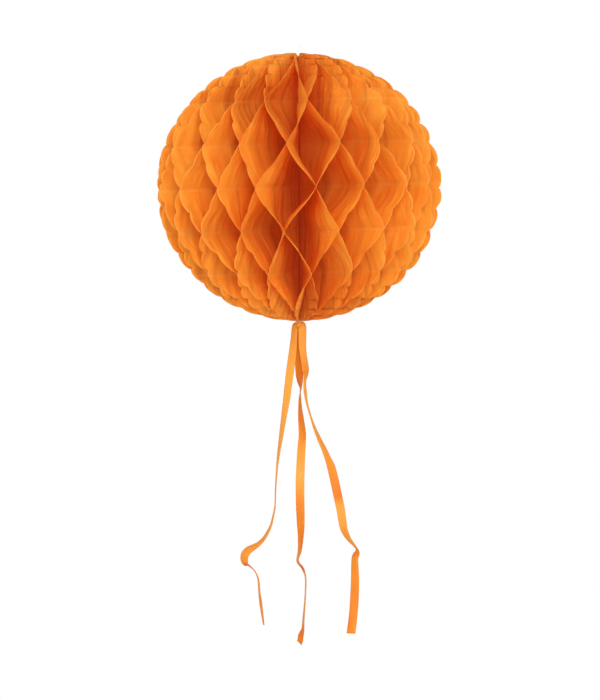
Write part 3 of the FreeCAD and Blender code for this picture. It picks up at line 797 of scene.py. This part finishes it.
# ------------------------------------------------------------------ threads and knots
def tube(name, path, radius, material, sides=10, closed=False):
    """A two-ply thread along a path."""
    p = np.array(path, float)
    count = len(p)
    along = unit(np.roll(p, -1, 0) - np.roll(p, 1, 0) if closed else np.gradient(p, axis=0))
    u = np.cross(along[0], [0.3, 0.5, 0.81])
    u /= np.linalg.norm(u)
    frames = []
    for d in along:
        u = u - d * (u @ d)
        u /= np.linalg.norm(u)
        frames.append((u, np.cross(d, u)))
    twist = 0.0
    if closed:
        # spread the frame's twist so that the ends meet
        end = u - along[0] * (u @ along[0])
        twist = math.atan2(end @ frames[0][1], end @ frames[0][0])
    verts = []
    for i, (a, b) in enumerate(frames):
        for s in range(sides):
            q = 2 * math.pi * s / sides
            # two plies twisted round each other
            ply = 1 + 0.10 * math.cos(2 * q - i * 0.55)
            turn = q - twist * i / count
            verts.append(p[i] + (a * math.cos(turn) + b * math.sin(turn)) * radius * ply)
    faces = []
    for i in range(count if closed else count - 1):
        here, after = i * sides, (i + 1) % count * sides
        for s in range(sides):
            s2 = (s + 1) % sides
            faces.append((here + s, here + s2, after + s2, after + s))
    if not closed:
        faces.append(tuple(reversed(range(sides))))
        faces.append(tuple((count - 1) * sides + s for s in range(sides)))
    mesh = bpy.data.meshes.new(name)
    mesh.from_pydata([tuple(v) for v in np.array(verts) * MM], [], faces)
    mesh.validate()
    return add_object(name, mesh, material)


def attach(obj, body, node):
    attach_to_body(obj, body)
    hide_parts(node)


def knot_path(z, scale=0.37, points=120):
    """An overhand knot drawn tight: a trefoil."""
    path = []
    for i in range(points):
        q = 2 * math.pi * i / points
        x = math.sin(q) + 2 * math.sin(2 * q)
        y = math.cos(q) - 2 * math.cos(2 * q)
        h = -math.sin(3 * q)
        path.append((x * scale, y * scale * 0.9, z + h * scale * 0.9))
    return path


def make_knot(node, body, material, radius):
    z = float(box(node)[0][2]) / MM
    knot = tube(node + "_thread", knot_path(z), radius, material, closed=True)
    attach(knot, body, node)


def make_tie(turns=3, steps=180):
    """A coil of thread round the necks of the ribbons."""
    centre, half = box("ribbon_tie")
    z, half_height = float(centre[2]) / MM, float(half[2]) / MM - 0.16
    radius = float(half[0]) / MM - 0.2
    path = []
    for i in range(steps + 1):
        q = 2 * math.pi * turns * i / steps
        rise = half_height * (2 * i / steps - 1)
        path.append((radius * math.cos(q), radius * math.sin(q), z + rise))
    coil = tube("ribbon_tie_thread", path, 0.15, THREAD_MAT, sides=8)
    attach(coil, "core", "ribbon_tie")


make_knot("top_knot", "knot", FILAMENT_MAT, radius=0.26)
make_knot("bottom_knot", "core", THREAD_MAT, radius=0.34)
make_tie()


# ------------------------------------------------------------------ CAD pieces that stay
def finish_node(node, material):
    for obj in bpy.data.objects:
        if obj.type == "MESH" and (obj.name == node or obj.name.startswith(node + ".")):
            for slot in obj.material_slots:
                slot.material = material
            if not obj.material_slots:
                obj.data.materials.append(material)


finish_node("cover_board_a", CARD_MAT)
finish_node("cover_board_b", CARD_MAT)
finish_node("closing_tape", TAPE_MAT)
finish_node("spine_thread", SPINE_PAINTED_SHADE_MAT)
finish_node("hanging_loop", FILAMENT_MAT)

# ------------------------------------------------------------------ floor, light and camera
# lengths in this section are metres
scene = bpy.context.scene
scene.view_settings.view_transform = "Standard"
scene.view_settings.look = "None"
scene.view_settings.exposure = 0.0
scene.view_settings.gamma = 1.0
scene.cycles.diffuse_bounces = 8
scene.cycles.transmission_bounces = 12
scene.cycles.max_bounces = 16

FLOOR_Z = CZ - 0.62
FLOOR_R, BEND_R = 3.2, 1.2                       # flat part, and the bend up to the backdrop
FLAT_STEPS, BEND_STEPS, FLOOR_SIDES = 12, 14, 64


def floor_material():
    m = Nodes("floor_white")
    cloud = m.noise(m.place(), scale=3.0, detail=2.0, rough=0.5)
    tint = m.ramp(cloud, [(0.3, (0.86, 0.86, 0.86)), (0.7, (0.90, 0.90, 0.90))])
    matt = m.add("BsdfDiffuse", Color=tint)
    # the floor shines pure white to the camera and lights the object only a little
    seen = m.add("LightPath").outputs["Is Camera Ray"]
    white = m.add("Emission", Strength=1.0)
    seen_gain, always = 0.70, 0.30
    share = m.math("MULTIPLY_ADD", seen, seen_gain, always)
    return m.finish(m.join("MixShader", matt.outputs[0], white.outputs[0], Fac=share))


def make_floor():
    """A pale floor that runs up into a backdrop all round, far from the object."""
    profile = [(FLOOR_R * i / FLAT_STEPS, 0.0) for i in range(FLAT_STEPS + 1)]
    for i in range(1, BEND_STEPS + 1):
        a = math.pi / 2 * i / BEND_STEPS
        profile.append((FLOOR_R + BEND_R * math.sin(a), BEND_R * (1 - math.cos(a))))
    verts, faces = [], []
    for r, z in profile:
        for s in range(FLOOR_SIDES):
            a = 2 * math.pi * s / FLOOR_SIDES
            verts.append((r * math.cos(a), r * math.sin(a), FLOOR_Z + z))
    for i in range(len(profile) - 1):
        here, after = i * FLOOR_SIDES, (i + 1) * FLOOR_SIDES
        for s in range(FLOOR_SIDES):
            s2 = (s + 1) % FLOOR_SIDES
            faces.append((here + s, here + s2, after + s2, after + s))
    mesh = bpy.data.meshes.new("floor")
    mesh.from_pydata(verts, [], faces)
    mesh.validate()
    add_object("floor", mesh, floor_material(), smooth=False)


def make_world(strength):
    world = bpy.data.worlds.new("studio")
    scene.world = world
    world.use_nodes = True
    background = world.node_tree.nodes.get("Background")
    background.inputs["Color"].default_value = (1.0, 1.0, 1.0, 1.0)
    background.inputs["Strength"].default_value = strength


def area(name, x, y, above, size, power):
    """A round light aimed at the ball's centre, placed by its height above it."""
    light = bpy.data.lights.new(name, "AREA")
    light.shape = "DISK"
    light.size = size
    light.energy = power
    obj = bpy.data.objects.new(name, light)
    obj.location = (x, y, CZ + above)
    look = Vector((0, 0, CZ)) - Vector((x, y, CZ + above))
    obj.rotation_euler = look.to_track_quat("-Z", "Y").to_euler()
    scene.collection.objects.link(obj)


def make_camera(x, distance, aim_below, view_height):
    """A camera level with the ball, aimed lower; view_height is what it sees at the aim."""
    data = bpy.data.cameras.new("camera")
    camera = bpy.data.objects.new("camera", data)
    scene.collection.objects.link(camera)
    eye = Vector((x, -distance, CZ))
    look = Vector((x, 0.0, CZ - aim_below)) - eye
    camera.location = eye
    camera.rotation_euler = look.to_track_quat("-Z", "Y").to_euler()
    data.sensor_fit = "VERTICAL"
    data.angle = 2 * math.atan(view_height / 2 / look.length)
    data.clip_start, data.clip_end = 0.05, 50.0
    scene.camera = camera


make_floor()
make_world(strength=0.74)
area("key", x=0.25, y=-2.95, above=0.75, size=1.0, power=42.0)
area("right", x=1.9, y=-2.2, above=0.7, size=0.9, power=14.0)
area("left", x=-1.9, y=-2.2, above=0.7, size=0.9, power=14.0)
area("fill", x=0.0, y=-2.9, above=-0.9, size=1.6, power=29.0)
area("back", x=-0.5, y=2.9, above=0.6, size=1.4, power=12.0)
make_camera(x=0.0008, distance=3.0, aim_below=0.17164875, view_height=0.73941)
